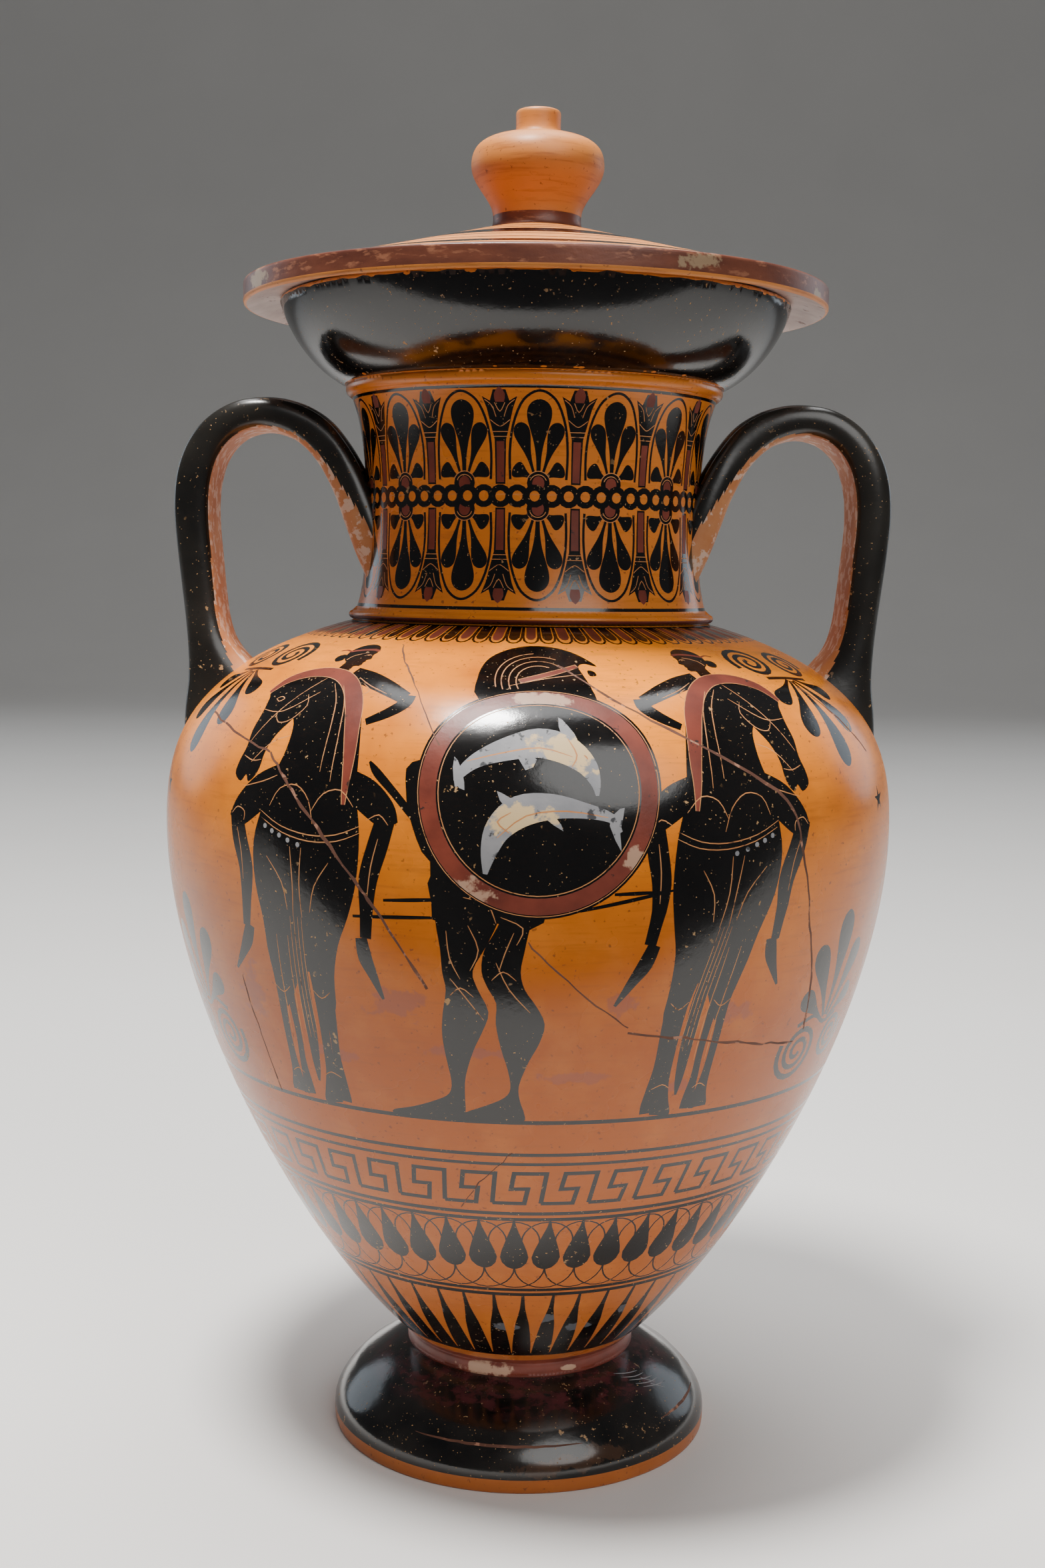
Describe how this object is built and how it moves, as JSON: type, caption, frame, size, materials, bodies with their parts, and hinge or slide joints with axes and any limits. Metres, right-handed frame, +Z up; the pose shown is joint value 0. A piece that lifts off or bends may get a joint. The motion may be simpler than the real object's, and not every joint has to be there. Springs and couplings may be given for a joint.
{
  "type": "lidded neck amphora",
  "caption": "Painted clay storage jar with a narrow neck, wide mouth, ring foot, upright strap handles and a loose knobbed lid.",
  "frame": {"origin": "centre of the foot's standing ring, on the surface that the vessel stands on", "axes": "+Z up the turning axis; the handles lie on +X and -X; the painted front faces -Y"},
  "size_m": [0.27, 0.27, 0.4946],
  "materials": {
    "amphora_clay": "burnished orange clay painted with black gloss",
    "lid_clay": "orange clay with purple-red and black bands"
  },
  "bodies": {
    "root": {"amphora": "amphora_clay", "lid": "lid_clay"}
  },
  "joints": []
}
